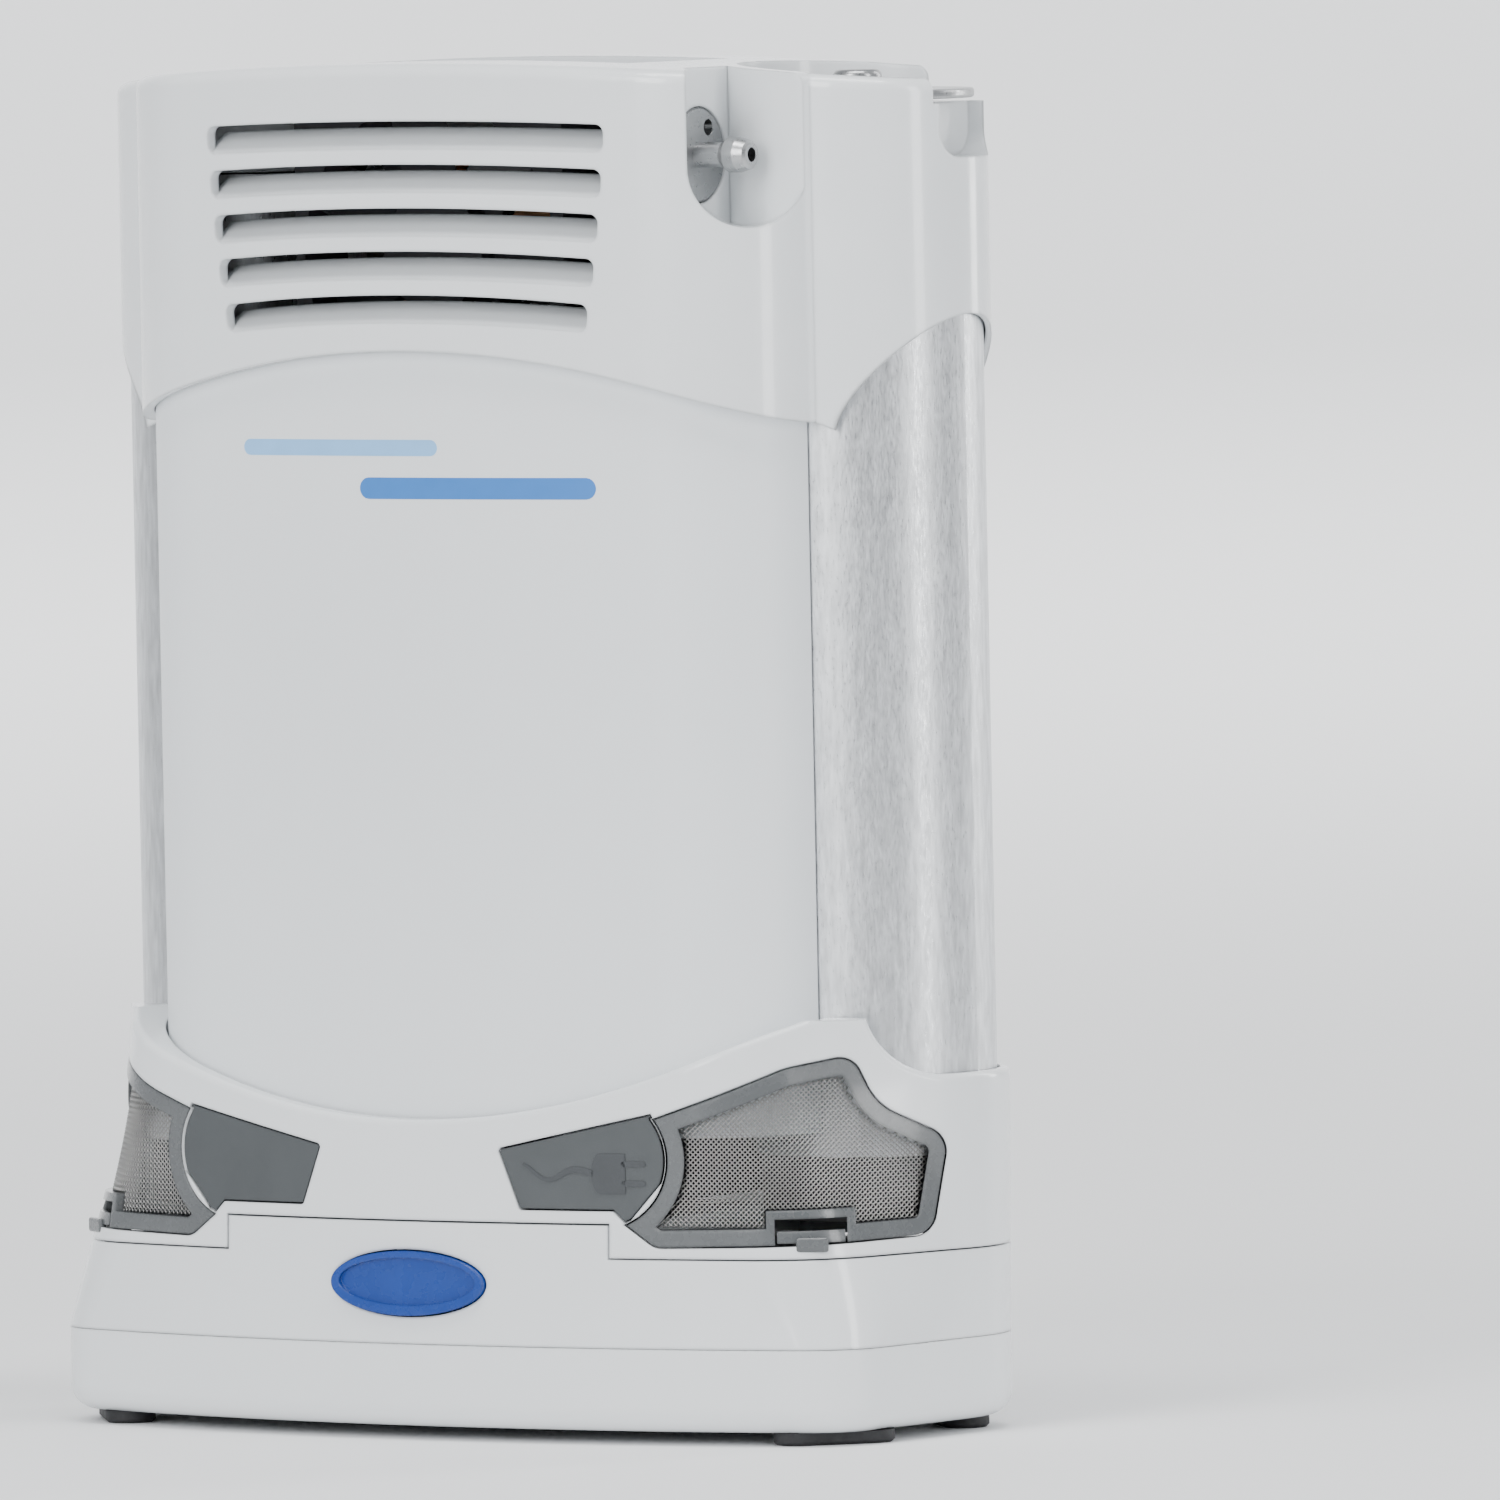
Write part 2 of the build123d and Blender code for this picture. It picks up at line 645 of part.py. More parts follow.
def outlet_barb():
    """Hose barb: stem, round bulb with a short straight land, and tip, with a bore."""
    start, stem_end, land, land_end, tip = -4.0, 5.6, 7.0, 9.2, 11.6
    profile = Polyline((start, 0), (start, 2.35), (stem_end, 2.35), (land, 3.3), (land_end, 3.3),
                       (tip - 0.5, 2.7), (tip, 2.2), (tip, 0), close=True)
    solid = revolve(make_face(profile), Axis.X)
    solid -= cylinder_x(1.35, 6, 0, 0, 14)
    return Pos(*OUTLET) * solid


def connector(size, hole):
    body = Pos(37, -26.6, 50) * Box(size[0], 11, size[1])
    return body - Pos(37, -32, 50) * Box(hole[0], 12, hole[1])


def control_panel():
    plate = Pos(0, 4, 252.0) * Box(PANEL_W - 0.4, PANEL_D - 0.4, 2.0)
    plate -= Pos(0, 9.5, 252) * Box(30, 14, 6)
    for x, y in KEYS.values():
        plate -= Pos(x, y, 252) * Cylinder(KEY_R + 0.3, 6)
    return plate


KEYS = {"power": (-27, 3.0), "mode": (27, 3.0), "down": (-10, -6.5), "up": (10, -6.5)}
KEY_R = 4.6


def key(x, y):
    cap = Pos(x, y, 252.2) * Cylinder(KEY_R, 2.8)
    return fillet(cap.edges().group_by(Axis.Z)[-1], 0.7)


def display_lens():
    return Pos(0, 9.5, 252.2) * Box(29.6, 13.6, 1.6)


def display_board():
    board = Pos(0, 4, 248.0) * Box(66, 28, 1.4)
    return board + Pos(0, 9.5, 249.6) * Box(26, 11, 1.8)


def build():
    """Every node of the object, by name."""
    nodes = {
        "top_cap": top_cap(),
        "control_panel": control_panel(),
        "display_lens": display_lens(),
        "display_board": display_board(),
        "outlet_disc": outlet_disc(),
        "outlet_barb": outlet_barb(),
        "front_panel": panel_shell(front=True),
        "back_panel": panel_shell(front=False),
        "lower_housing": lower_housing(),
        "chassis_frame": chassis_frame(),
        "compressor_motor": compressor_motor(),
        "product_tank": product_tank(),
        "valve_manifold": valve_manifold(),
        "intake_muffler": intake_muffler(),
        "main_board": main_board(),
        "fan_housing": fan_housing(),
        "fan_rotor": fan_rotor(),
        "product_hose": product_hose(),
        "cooling_coil": cooling_coil(),
        "battery_tray": battery_tray(),
        "battery_lid": battery_lid(),
        "battery_cells": battery_cells(),
        "battery_board": battery_board(),
        "battery_terminal": Pos(*TERMINAL) * Box(*TERMINAL_SIZE),
        "release_button": release_button(),
        "button_pad": button_pad(),
        "feet_front": foot_pair(FEET_FRONT),
        "feet_rear": foot_pair(FEET_REAR),
        "power_inlet": connector((14, 9), (9, 5)),
        "data_connector": connector((14, 9), (8, 3)).mirror(Plane.YZ),
    }
    for name, (x, y) in KEYS.items():
        nodes["key_" + name] = key(x, y)
    for number, x in enumerate((5, 26), start=1):
        nodes[f"solenoid_{number}"] = solenoid(x)
    frame, mesh, latch, cover = filter_frame(), filter_mesh(), filter_latch(), port_cover()
    for side, sign in SIDES.items():
        nodes["compressor_head_" + side] = compressor_head(sign)
        nodes["isolator_" + side] = isolator(sign * 17)
        nodes["column_socket_" + side] = sided(column_socket(), side)
        nodes["column_tube_" + side] = sided(column_tube(), side)
        nodes["column_top_" + side] = sided(column_plug(TUBE_TOP - 8, TUBE_TOP), side)
        nodes["column_bottom_" + side] = sided(column_bottom(), side)
        nodes["release_disc_" + side] = sided(release_disc(), side)
        nodes["release_stem_" + side] = sided(release_stem(), side)
        nodes["filter_frame_" + side] = sided(frame, side)
        nodes["filter_mesh_" + side] = sided(mesh, side)
        nodes["filter_latch_" + side] = sided(latch, side)
        nodes["port_cover_" + side] = sided(cover, side)
    return nodes


os.makedirs("parts", exist_ok=True)
for node, shape in build().items():
    export_step(shape, f"parts/{node}.step")
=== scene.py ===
"""Looks of the portable oxygen concentrator: finishes, woven filters, printed marks and studio."""

import json
from math import cos, pi, radians, sin, sqrt

import bpy
from mathutils import Matrix, Vector
from mathutils.bvhtree import BVHTree


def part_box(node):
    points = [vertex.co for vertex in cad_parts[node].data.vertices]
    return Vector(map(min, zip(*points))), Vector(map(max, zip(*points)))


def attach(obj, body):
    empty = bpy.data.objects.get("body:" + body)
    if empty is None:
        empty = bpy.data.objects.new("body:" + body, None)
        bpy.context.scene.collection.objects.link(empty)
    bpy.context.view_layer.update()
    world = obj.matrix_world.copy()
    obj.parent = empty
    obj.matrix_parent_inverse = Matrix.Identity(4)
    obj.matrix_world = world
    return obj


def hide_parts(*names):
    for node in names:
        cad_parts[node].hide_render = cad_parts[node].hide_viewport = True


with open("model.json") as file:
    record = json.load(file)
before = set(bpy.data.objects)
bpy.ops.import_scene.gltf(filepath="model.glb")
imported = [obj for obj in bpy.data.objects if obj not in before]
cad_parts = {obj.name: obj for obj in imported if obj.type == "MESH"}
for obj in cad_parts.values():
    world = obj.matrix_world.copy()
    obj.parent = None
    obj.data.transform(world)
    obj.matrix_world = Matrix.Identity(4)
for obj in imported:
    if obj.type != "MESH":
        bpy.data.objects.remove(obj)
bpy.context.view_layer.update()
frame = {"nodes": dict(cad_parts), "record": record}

MM = 0.001
CORNER_TURN = radians(34)  # the front corners face this far from the front
IN_FRONT = 0.15  # where the rays that find the CAD surfaces start, out in front of the object
SIDES = {"right": 1, "left": -1}


# Finishes

def node_of(tree, kind, place=(0, 0), **values):
    """A shader node with some of its inputs or settings filled in."""
    node = tree.nodes.new(kind)
    node.location = place
    for name, value in values.items():
        if name in node.inputs:
            node.inputs[name].default_value = value
        else:
            setattr(node, name, value)
    return node


def stretched_place(tree, stretch):
    """Object coordinates in millimetres, squeezed along the axes that the grain runs along."""
    place = node_of(tree, "ShaderNodeTexCoord", (-1300, 0))
    mapping = node_of(tree, "ShaderNodeMapping", (-1100, 0), Scale=[1000 / s for s in stretch])
    tree.links.new(place.outputs["Object"], mapping.inputs["Vector"])
    return mapping.outputs["Vector"]


def noise(tree, vector, scale, detail=3.0, place=(-880, 0)):
    """Noise whose features are about 1/scale millimetres wide."""
    node = node_of(tree, "ShaderNodeTexNoise", place, Scale=scale, Detail=detail)
    tree.links.new(vector, node.inputs["Vector"])
    return node.outputs["Fac"]


def spread(tree, value, low, high, place=(-680, 0)):
    """Brings noise, which stays near a half, to run from low to high."""
    node = node_of(tree, "ShaderNodeMapRange", place)
    for name, number in {"From Min": 0.3, "From Max": 0.7, "To Min": low, "To Max": high}.items():
        node.inputs[name].default_value = number
    tree.links.new(value, node.inputs["Value"])
    return node.outputs["Result"]


def finish(name, colour, gloss, metal=0.0, vary=0.03, patch=0.05, stretch=(1, 1, 1), grain=3.0,
           relief=0.01, edge=0.0, coat=0.0, patch_detail=4.0, clear=0.0, ior=1.5):
    """A procedural finish.

    colour is linear; gloss is the roughness range. The colour and gloss drift by patches that
    are 1/patch mm wide, and the grain is 1/grain mm wide and relief mm high. edge rounds
    the corners that the light sees, in mm.
    """
    material = bpy.data.materials.new(name)
    material.use_nodes = True
    tree = material.node_tree
    shader = tree.nodes["Principled BSDF"]
    vector = stretched_place(tree, stretch)
    tone = spread(tree, noise(tree, vector, patch, patch_detail, (-880, 300)), 0, 1, (-680, 300))
    mix = node_of(tree, "ShaderNodeMix", (-440, 300), data_type="RGBA")
    dark, light = [tuple(min(1.0, c * f) for c in colour) + (1,) for f in (1 - vary, 1 + vary)]
    mix.inputs[6].default_value = dark
    mix.inputs[7].default_value = light
    tree.links.new(tone, mix.inputs[0])
    tree.links.new(mix.outputs[2], shader.inputs["Base Color"])
    wear = spread(tree, noise(tree, vector, patch * 4, 3.0, (-880, 0)), *gloss)
    tree.links.new(wear, shader.inputs["Roughness"])
    bump = node_of(tree, "ShaderNodeBump", (-300, -300), Strength=1.0, Distance=relief * MM)
    tree.links.new(noise(tree, vector, grain, 2.0, (-880, -300)), bump.inputs["Height"])
    if edge:
        rounded = node_of(tree, "ShaderNodeBevel", (-520, -420), samples=4, Radius=edge * MM)
        tree.links.new(rounded.outputs["Normal"], bump.inputs["Normal"])
    tree.links.new(bump.outputs["Normal"], shader.inputs["Normal"])
    shader.inputs["Metallic"].default_value = metal
    shader.inputs["Coat Weight"].default_value = coat
    shader.inputs["Coat Roughness"].default_value = 0.08
    shader.inputs["Transmission Weight"].default_value = clear
    shader.inputs["IOR"].default_value = ior
    return material


def drawn_tube():
    """Bare drawn aluminium: fine streaks along the tube, and the dull mottling of old stock."""
    return finish("tube_aluminium", (0.68, 0.695, 0.71), (0.26, 0.50), metal=1.0, vary=0.17,
                  patch=0.8, stretch=(1, 1, 5), grain=2.2, relief=0.02, patch_detail=8.0)


def finishes():
    """One material for each of the record's slots."""
    made = {
        "shell_white": finish("shell_white", (0.80, 0.825, 0.84), (0.17, 0.27), vary=0.012,
                              patch=0.03, grain=0.35, relief=0.006, edge=1.0, coat=0.6),
        "panel_white": finish("panel_white", (0.80, 0.83, 0.85), (0.34, 0.44), vary=0.012,
                              patch=0.02, grain=1.4, relief=0.004, edge=0.4),
        "tube_aluminium": drawn_tube(),
        "disc_metal": finish("disc_metal", (0.40, 0.405, 0.41), (0.25, 0.38), metal=1.0, vary=0.08,
                             patch=0.4, grain=5.0, relief=0.004, edge=0.2),
        "barb_metal": finish("barb_metal", (0.42, 0.425, 0.43), (0.26, 0.36), metal=1.0, vary=0.05,
                             patch=0.3, grain=6.0, relief=0.006, edge=0.15),
        "frame_grey": finish("frame_grey", (0.095, 0.102, 0.106), (0.22, 0.32), vary=0.06,
                             patch=0.15, grain=3.0, relief=0.008, edge=0.9, coat=0.5),
        "cover_grey": finish("cover_grey", (0.062, 0.069, 0.073), (0.50, 0.62), vary=0.06,
                             patch=0.10, grain=4.0, relief=0.015, edge=0.5),
        "mesh_steel": finish("mesh_steel", (0.42, 0.415, 0.405), (0.28, 0.42), metal=1.0, vary=0.12,
                             patch=0.12, grain=3.0, relief=0.004),
        "button_blue": finish("button_blue", (0.006, 0.045, 0.27), (0.22, 0.32), vary=0.06,
                              patch=0.10, grain=2.5, relief=0.008, edge=0.5, coat=0.25),
        "foot_rubber": finish("foot_rubber", (0.018, 0.018, 0.02), (0.55, 0.75), vary=0.15,
                              patch=0.2, grain=3.0, relief=0.03, edge=0.4),
        "keypad_grey": finish("keypad_grey", (0.23, 0.25, 0.27), (0.40, 0.52), vary=0.04,
                              patch=0.06, grain=4.0, relief=0.01, edge=0.3),
        "key_white": finish("key_white", (0.72, 0.74, 0.75), (0.42, 0.55), vary=0.03,
                            patch=0.1, grain=5.0, relief=0.01, edge=0.4),
        "key_green": finish("key_green", (0.06, 0.33, 0.13), (0.40, 0.52), vary=0.05,
                            patch=0.1, grain=5.0, relief=0.01, edge=0.4),
        "lens_dark": finish("lens_dark", (0.012, 0.016, 0.016), (0.05, 0.12), vary=0.10,
                            patch=0.05, grain=0.5, relief=0.001, coat=0.6),
        "board_green": finish("board_green", (0.02, 0.13, 0.05), (0.30, 0.45), vary=0.20,
                              patch=0.3, grain=1.0, relief=0.02),
        "inner_black": finish("inner_black", (0.03, 0.03, 0.033), (0.40, 0.55), vary=0.10,
                              patch=0.1, grain=3.0, relief=0.02, edge=0.3),
        "motor_alloy": finish("motor_alloy", (0.50, 0.51, 0.52), (0.35, 0.50), metal=1.0,
                              vary=0.08, patch=0.2, grain=2.5, relief=0.04, edge=0.4),
        "pipe_copper": finish("pipe_copper", (0.72, 0.36, 0.20), (0.25, 0.42), metal=1.0,
                              vary=0.12, patch=0.1, grain=2.0, relief=0.01),
        "hose_clear": finish("hose_clear", (0.70, 0.71, 0.68), (0.30, 0.45), vary=0.04,
                             patch=0.1, grain=2.0, relief=0.01, clear=0.25, ior=1.41),
        "cell_wrap": finish("cell_wrap", (0.05, 0.20, 0.17), (0.18, 0.30), vary=0.06,
                            patch=0.1, grain=1.0, relief=0.01, coat=0.4),
        "contact_gold": finish("contact_gold", (0.83, 0.60, 0.25), (0.22, 0.35), metal=1.0,
                               vary=0.06, patch=0.3, grain=4.0, relief=0.003, edge=0.15),
    }
    # The button's recessed middle is a darker blue than its rim: painted shade for the recess.
    made["button_painted_shade"] = finish("button_painted_shade", (0.003, 0.018, 0.125), (0.30, 0.42), vary=0.06,
                                 patch=0.10, grain=2.5, relief=0.01, edge=0.4)
    made["mark_light"] = finish("mark_light", (0.26, 0.52, 0.86), (0.30, 0.42), vary=0.03,
                                patch=0.2, grain=3.0, relief=0.003)
    made["mark_blue"] = finish("mark_blue", (0.035, 0.19, 0.56), (0.30, 0.42), vary=0.03,
                               patch=0.2, grain=3.0, relief=0.003)
    made["mark_white"] = finish("mark_white", (0.78, 0.80, 0.80), (0.40, 0.52), vary=0.03,
                                patch=0.2, grain=3.0, relief=0.003)
    made["mark_grey"] = finish("mark_grey", (0.045, 0.05, 0.055), (0.45, 0.58), vary=0.05,
                               patch=0.2, grain=3.0, relief=0.008)
    return made


def paint_nodes(looks):
    """Each CAD node gets its slot's finish, apart from the button's recessed middle, whose darker blue is
    painted shade for the recess.
    """
    slots = {part["node"]: part["material_slot"] for part in frame["record"]["subparts"]}
    own = {"button_pad": "button_painted_shade"}
    for name, node in frame["nodes"].items():
        look = looks[own.get(name, slots[name])]
        node.data.materials.clear()
        node.data.materials.append(look)


# Pieces laid on the CAD surfaces

def cad_tree(*nodes):
    """Search tree of the CAD nodes' faces."""
    points, faces = [], []
    for name in nodes:
        mesh = frame["nodes"][name].data
        first = len(points)
        points += [vertex.co.copy() for vertex in mesh.vertices]
        faces += [[first + index for index in face.vertices] for face in mesh.polygons]
    return BVHTree.FromPolygons(points, faces)


def corner_view(side):
    """Directions across and towards a front corner that faces right (1) or left (-1)."""
    across = Vector((side * cos(CORNER_TURN), sin(CORNER_TURN), 0))
    towards = Vector((side * sin(CORNER_TURN), -cos(CORNER_TURN), 0))
    return across, towards


def mesh_piece(name, points, faces, look, body, smooth=True):
    """A mesh object that rides on a body and takes its finish from a slot."""
    mesh = bpy.data.meshes.new(name)
    mesh.from_pydata(points, [], faces)
    mesh.update()
    for face in mesh.polygons:
        face.use_smooth = smooth
    piece = bpy.data.objects.new(name, mesh)
    bpy.context.scene.collection.objects.link(piece)
    mesh.materials.append(look)
    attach(piece, body)
    return piece


def add_tube(points, faces, path, normals, radius, sides=5):
    """Adds a closed round wire along a path to lists of points and faces."""
    first = len(points)
    for index, (place, normal) in enumerate(zip(path, normals)):
        ahead = path[min(index + 1, len(path) - 1)] - path[max(index - 1, 0)]
        side = ahead.cross(normal).normalized()
        up = side.cross(ahead).normalized()
        for corner in range(sides):
            angle = 2 * pi * corner / sides
            points.append(place + radius * (cos(angle) * side + sin(angle) * up))
    for ring in range(len(path) - 1):
        for corner in range(sides):
            low = first + ring * sides + corner
            low_next = first + ring * sides + (corner + 1) % sides
            faces.append((low, low_next, low_next + sides, low + sides))
    faces.append(tuple(first + corner for corner in reversed(range(sides))))
    faces.append(tuple(len(points) - sides + corner for corner in range(sides)))


WIRE_PITCH = 0.68 * MM
WIRE_R = 0.145 * MM


def woven_sheet(side_name, side, look):
    """Over-and-under wires at 45 degrees, laid on the CAD mesh sheet and cut to its outline."""
    node = f"filter_mesh_{side_name}"
    tree = cad_tree(node)
    low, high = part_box(node)
    middle = (low + high) / 2
    across, towards = corner_view(side)
    reach = int((high - low).length / WIRE_PITCH)
    diagonals = [(across + Vector((0, 0, 1))) / sqrt(2), (across - Vector((0, 0, 1))) / sqrt(2)]
    crossings = {}
    for i in range(-reach, reach + 1):
        for j in range(-reach, reach + 1):
            spot = middle + WIRE_PITCH * (i * diagonals[0] + j * diagonals[1])
            if low.z <= spot.z <= high.z:
                hit, normal, _, _ = tree.ray_cast(spot + towards * 0.1, -towards, 0.2)
                if hit:
                    crossings[i, j] = (hit, normal)
    points, faces = [], []
    for swap in (False, True):
        for line in range(-reach, reach + 1):
            run = []
            for step in range(-reach, reach + 2):
                key = (step, line) if swap else (line, step)
                if key in crossings:
                    run.append(key)
                    continue
                if len(run) > 1:
                    add_wire(points, faces, [crossings[k] for k in run], run[0], swap)
                run = []
    piece = mesh_piece(f"woven_wire_{side_name}", points, faces, look, f"filter_{side_name}")
    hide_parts(node)
    return piece


def add_wire(points, faces, places, first_key, swap):
    """One wire that passes over and under the wires that it crosses."""
    start = sum(first_key) + (1 if swap else 0)
    path = []
    for index, (hit, normal) in enumerate(places):
        lift = WIRE_R * (1 if (start + index) % 2 else -1)
        path.append(hit + normal * (lift - WIRE_R))
    add_tube(points, faces, path, [normal for _, normal in places], WIRE_R, sides=4)


def laid_shape(name, outline_rows, tree, aim, look, body, lift=0.12 * MM, sink=0.25 * MM):
    """A thin shape laid on a surface: rows of points, each dropped along aim onto the surface.

    outline_rows is a grid of points in front of the surface, and every row has as many.
    """
    top, normals = [], []
    for row in outline_rows:
        for place in row:
            hit, normal, _, _ = tree.ray_cast(place, aim, 0.3)
            if hit is None:
                raise RuntimeError(f"{name} has a point beside its surface")
            top.append(hit - aim * lift)
    rows, columns = len(outline_rows), len(outline_rows[0])
    bottom = [place + aim * (lift + sink) for place in top]
    points = top + bottom
    count = len(top)
    faces = []
    for r in range(rows - 1):
        for c in range(columns - 1):
            a, b = r * columns + c, r * columns + c + 1
            quad = (a, b, b + columns, a + columns)
            faces.append(quad)
            faces.append(tuple(count + index for index in reversed(quad)))
    ring = [c for c in range(columns)] + [r * columns + columns - 1 for r in range(1, rows)]
    ring += [(rows - 1) * columns + c for c in reversed(range(columns - 1))]
    ring += [r * columns for r in reversed(range(1, rows - 1))]
    for a, b in zip(ring, ring[1:] + ring[:1]):
        faces.append((b, a, a + count, b + count))
    return mesh_piece(name, points, faces, look, body, smooth=False)


def corner_spots(side, rows):
    """Points in front of a corner from rows of (across, up) in millimetres."""
    across, towards = corner_view(side)
    up = Vector((0, 0, 1))
    return [
        [across * (s * MM) + towards * IN_FRONT + up * (z * MM) for s, z in row] for row in rows
    ]


def bar_rows(start, end, half, columns=24, rows=4):
    """A straight bar with round ends between two points, as rows of points along it."""
    (x0, y0), (x1, y1) = start, end
    length = sqrt((x1 - x0) ** 2 + (y1 - y0) ** 2)
    along = ((x1 - x0) / length, (y1 - y0) / length)
    grid = []
    for row in range(rows + 1):
        side = 1 - 2 * row / rows
        line = []
        for column in range(columns + 1):
            reach = -half + (length + 2 * half) * (1 - cos(pi * column / columns)) / 2
            past = max(-reach, reach - length, 0.0)
            width = side * sqrt(max(half ** 2 - past ** 2, (0.12 * half) ** 2))
            x = x0 + along[0] * reach - along[1] * width
            y = y0 + along[1] * reach + along[0] * width
            line.append((x, y))
        grid.append(line)
    return grid


def ribbon_rows(path, widths, rows=2):
    """A ribbon of changing width along a path, as rows of points along it."""
    grid = []
    for row in range(rows + 1):
        side = 1 - 2 * row / rows
        line = []
        for index, (x, y) in enumerate(path):
            before, after = path[max(index - 1, 0)], path[min(index + 1, len(path) - 1)]
            dx, dy = after[0] - before[0], after[1] - before[1]
            length = sqrt(dx * dx + dy * dy)
            width = side * widths[index] / 2
            line.append((x - dy / length * width, y + dx / length * width))
        grid.append(line)
    return grid


def front_bars(looks):
    """Two plain printed bars on the front panel."""
    tree = cad_tree("front_panel")
    bars = {
        "printed_bar_light": ((-37.0, 184.0), (5.0, 184.0), 1.5, "mark_light"),
        "printed_bar_blue": ((-9.0, 176.5), (38.0, 176.5), 2.0, "mark_blue"),
    }
    for name, (start, end, half, look) in bars.items():
        grid = bar_rows(start, end, half, 40)
        rows = [[Vector((x * MM, -IN_FRONT, z * MM)) for x, z in row] for row in grid]
        laid_shape(name, rows, tree, Vector((0, 1, 0)), looks[look], "unit",
                   lift=0.05 * MM, sink=0.1 * MM)


def plug_symbol(looks):
    """The mains plug with its lead that is moulded on the right socket's cover."""
    tree = cad_tree("port_cover_right")
    aim = -corner_view(1)[1]
    wave = [(12.9 - 13.0 * k / 24, 50.2 + 1.7 * sin(2.4 * pi * k / 24) * (k / 24) ** 0.6) for k in range(25)]
    body = [(12.6 + 6.2 * k / 12, 50.2) for k in range(13)]
    body_width = [7.4 * min(1.0, 0.35 + 1.5 * (k / 12) ** 0.5) for k in range(13)]
    parts = {
        "plug_symbol_lead": ribbon_rows(wave, [1.3 - 0.8 * k / 24 for k in range(25)]),
        "plug_symbol_body": ribbon_rows(body, body_width, 4),
        "plug_symbol_prong_1": bar_rows((18.6, 52.0), (22.0, 52.0), 0.55, 10, 2),
        "plug_symbol_prong_2": bar_rows((18.6, 48.4), (22.0, 48.4), 0.55, 10, 2),
    }
    for name, rows in parts.items():
        laid_shape(name, corner_spots(1, rows), tree, aim, looks["mark_grey"], "port_right",
                   lift=0.18 * MM, sink=0.1 * MM)


def latch_tab(side_name, side, looks):
    """Pull tab under the latch bar, a small rounded tongue."""
    bar = f"filter_latch_{side_name}"
    low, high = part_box(bar)
    middle = (low + high) / 2
    across, towards = corner_view(side)
    front = max(vertex.co.dot(towards) for vertex in frame["nodes"][bar].data.vertices)
    place = across * middle.dot(across) + towards * (front - 0.2 * MM)
    half_width, depth, top, bottom = 3.0 * MM, 0.7 * MM, low.z + 1.0 * MM, low.z - 1.7 * MM
    points = []
    for z in (bottom, top):
        for a, d in ((-1, -1), (1, -1), (1, 1), (-1, 1)):
            points.append(place + across * (a * half_width) + towards * (d * depth) + Vector((0, 0, z)))
    faces = [(3, 2, 1, 0), (4, 5, 6, 7), (0, 1, 5, 4), (1, 2, 6, 5), (2, 3, 7, 6), (3, 0, 4, 7)]
    if side < 0:
        faces = [tuple(reversed(face)) for face in faces]
    piece = mesh_piece(f"latch_tab_{side_name}", points, faces, looks["frame_grey"], f"latch_{side_name}",
                       smooth=False)
    soften = piece.modifiers.new("soften", "BEVEL")
    soften.width = 0.45 * MM
    soften.segments = 3
    return piece


def key_marks(looks):
    """Plain symbols on the four keys: on, mode, less and more."""
    circle = [(2.2 * cos(pi * k / 16 + 0.65 * pi), 2.2 * sin(pi * k / 16 + 0.65 * pi)) for k in range(28)]
    marks = {
        "key_power": [ribbon_rows(circle, [0.6] * len(circle)), bar_rows((0, 0.9), (0, 3.0), 0.3, 8, 2)],
        "key_mode": [bar_rows((x, -0.01), (x, 0.01), 0.5, 8, 4) for x in (-1.8, 0, 1.8)],
        "key_down": [bar_rows((-1.7, 0), (1.7, 0), 0.32, 8, 2)],
        "key_up": [bar_rows((-1.7, 0), (1.7, 0), 0.32, 8, 2), bar_rows((0, 0.6), (0, 1.7), 0.32, 8, 2),
                   bar_rows((0, -1.7), (0, -0.6), 0.32, 8, 2)],
    }
    for key, shapes in marks.items():
        low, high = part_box(key)
        middle = (low + high) / 2
        look = looks["mark_white" if key == "key_power" else "mark_grey"]
        for index, rows in enumerate(shapes):
            over = Vector((middle.x, middle.y, high.z + 10 * MM))
            spots = [[over + Vector((x * MM, y * MM, 0)) for x, y in row] for row in rows]
            laid_shape(f"{key}_mark_{index + 1}", spots, cad_tree(key), Vector((0, 0, -1)), look, key,
                       lift=0.06 * MM, sink=0.1 * MM)


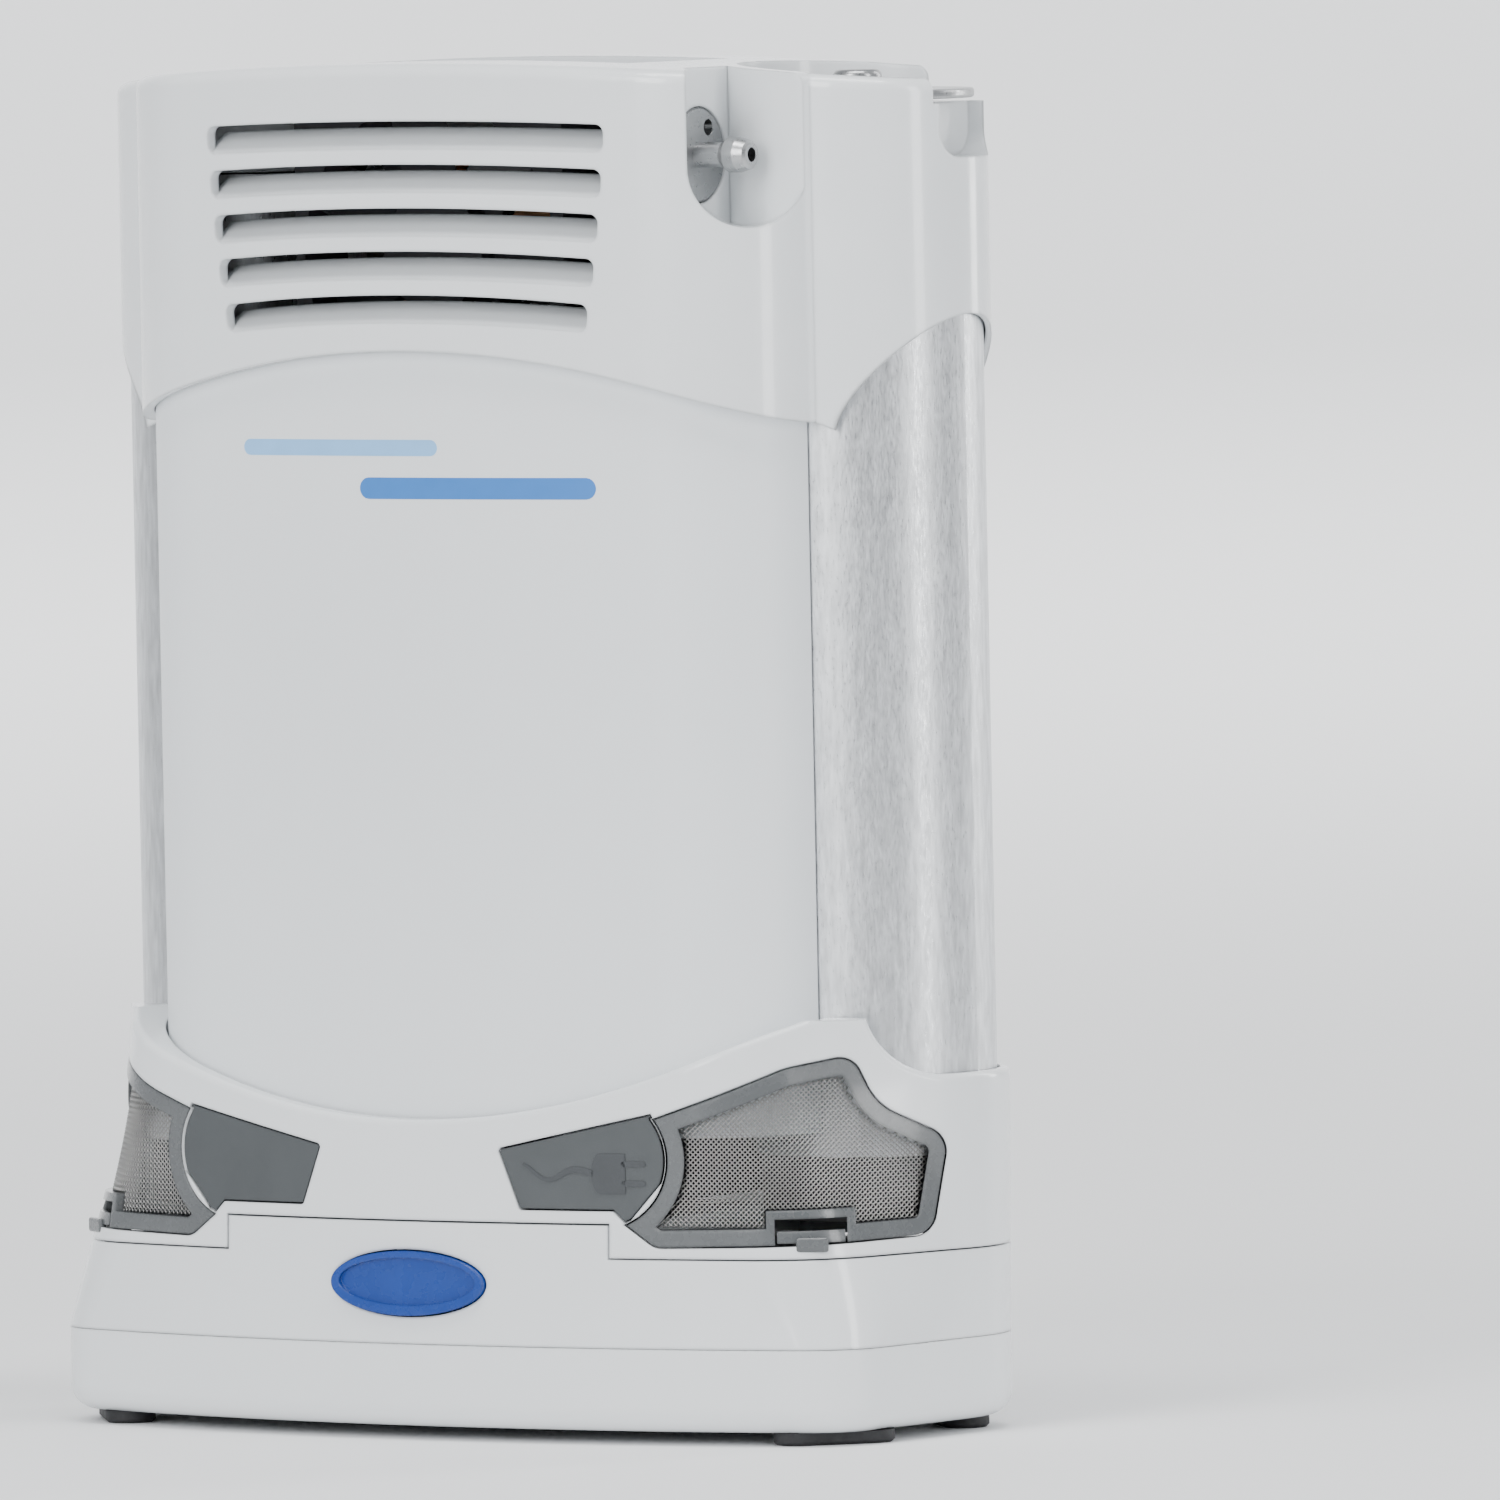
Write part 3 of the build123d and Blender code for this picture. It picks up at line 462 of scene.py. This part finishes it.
def studio():
    """A pale floor that curves up behind the object, soft lights and the camera."""
    scene = bpy.context.scene
    half, front, run, rise, bend = 14.0, -14.0, 6.5, 8.0, 1.5
    profile = [(front, 0.0), (run, 0.0)]
    steps = 12
    for step in range(1, steps + 1):
        angle = pi / 2 * step / steps
        profile.append((run + bend * sin(angle), bend * (1 - cos(angle))))
    profile.append((run + bend, rise))
    points = [(x, away, up) for away, up in profile for x in (-half, half)]
    faces = [(2 * i, 2 * i + 1, 2 * i + 3, 2 * i + 2) for i in range(len(profile) - 1)]
    mesh = bpy.data.meshes.new("backdrop")
    mesh.from_pydata(points, [], faces)
    for face in mesh.polygons:
        face.use_smooth = True
    floor = bpy.data.objects.new("backdrop", mesh)
    floor.matrix_world = Matrix.Rotation(CORNER_TURN, 4, "Z")
    mesh.materials.append(finish("backdrop", (0.86, 0.865, 0.87), (0.6, 0.7), vary=0.004,
                                 patch=0.002, grain=0.2, relief=0.002))
    scene.collection.objects.link(floor)

    world = bpy.data.worlds.new("studio")
    world.use_nodes = True
    back = world.node_tree.nodes["Background"]
    back.inputs["Color"].default_value = (0.93, 0.96, 1.0, 1)
    back.inputs["Strength"].default_value = 0.62
    scene.world = world

    middle = Vector((0, 0, 0.13))
    # name: turn from the camera's side, height, distance, width, height of the light, watts
    softboxes = {
        "key": (-35, 0.70, 1.3, 0.55, 0.9, 13),
        "fill": (52, 0.50, 1.5, 0.25, 1.2, 8),
        "top": (0, 1.3, 0.30, 0.9, 0.35, 12),
        "rim": (118, 0.6, 1.3, 0.25, 1.1, 7),
    }
    for name, (side, height, distance, width, tall, watts) in softboxes.items():
        light = bpy.data.lights.new(name, "AREA")
        light.shape = "RECTANGLE"
        light.size = width
        light.size_y = tall
        light.energy = watts
        lamp = bpy.data.objects.new(name, light)
        around = CORNER_TURN + radians(side)
        lamp.location = (distance * sin(around), -distance * cos(around), height)
        lamp.rotation_euler = (middle - lamp.location).to_track_quat("-Z", "Y").to_euler()
        scene.collection.objects.link(lamp)

    wash = bpy.data.lights.new("wall_wash", "AREA")
    wash.shape = "RECTANGLE"
    wash.size = 9.0
    wash.size_y = 2.5
    wash.energy = 700
    washer = bpy.data.objects.new("wall_wash", wash)
    high_behind = Matrix.Translation((0, 2.0, 4.0))
    washer.matrix_world = floor.matrix_world @ high_behind @ Matrix.Rotation(radians(65), 4, "X")
    scene.collection.objects.link(washer)

    heading, down, roll = radians(33.38), radians(2.83), radians(1.1)
    data = bpy.data.cameras.new("camera")
    data.sensor_width = 36
    data.lens = 522.2
    data.clip_end = 50
    camera = bpy.data.objects.new("camera", data)
    place = Matrix.Translation((2.2698, -3.3651, 0.326))
    aim = Matrix.Rotation(heading, 4, "Z") @ Matrix.Rotation(pi / 2 - down, 4, "X")
    camera.matrix_world = place @ aim @ Matrix.Rotation(-roll, 4, "Z")
    scene.collection.objects.link(camera)
    scene.camera = camera


looks = finishes()
paint_nodes(looks)
for name, side in SIDES.items():
    woven_sheet(name, side, looks["mesh_steel"])
    latch_tab(name, side, looks)
front_bars(looks)
plug_symbol(looks)
key_marks(looks)
studio()
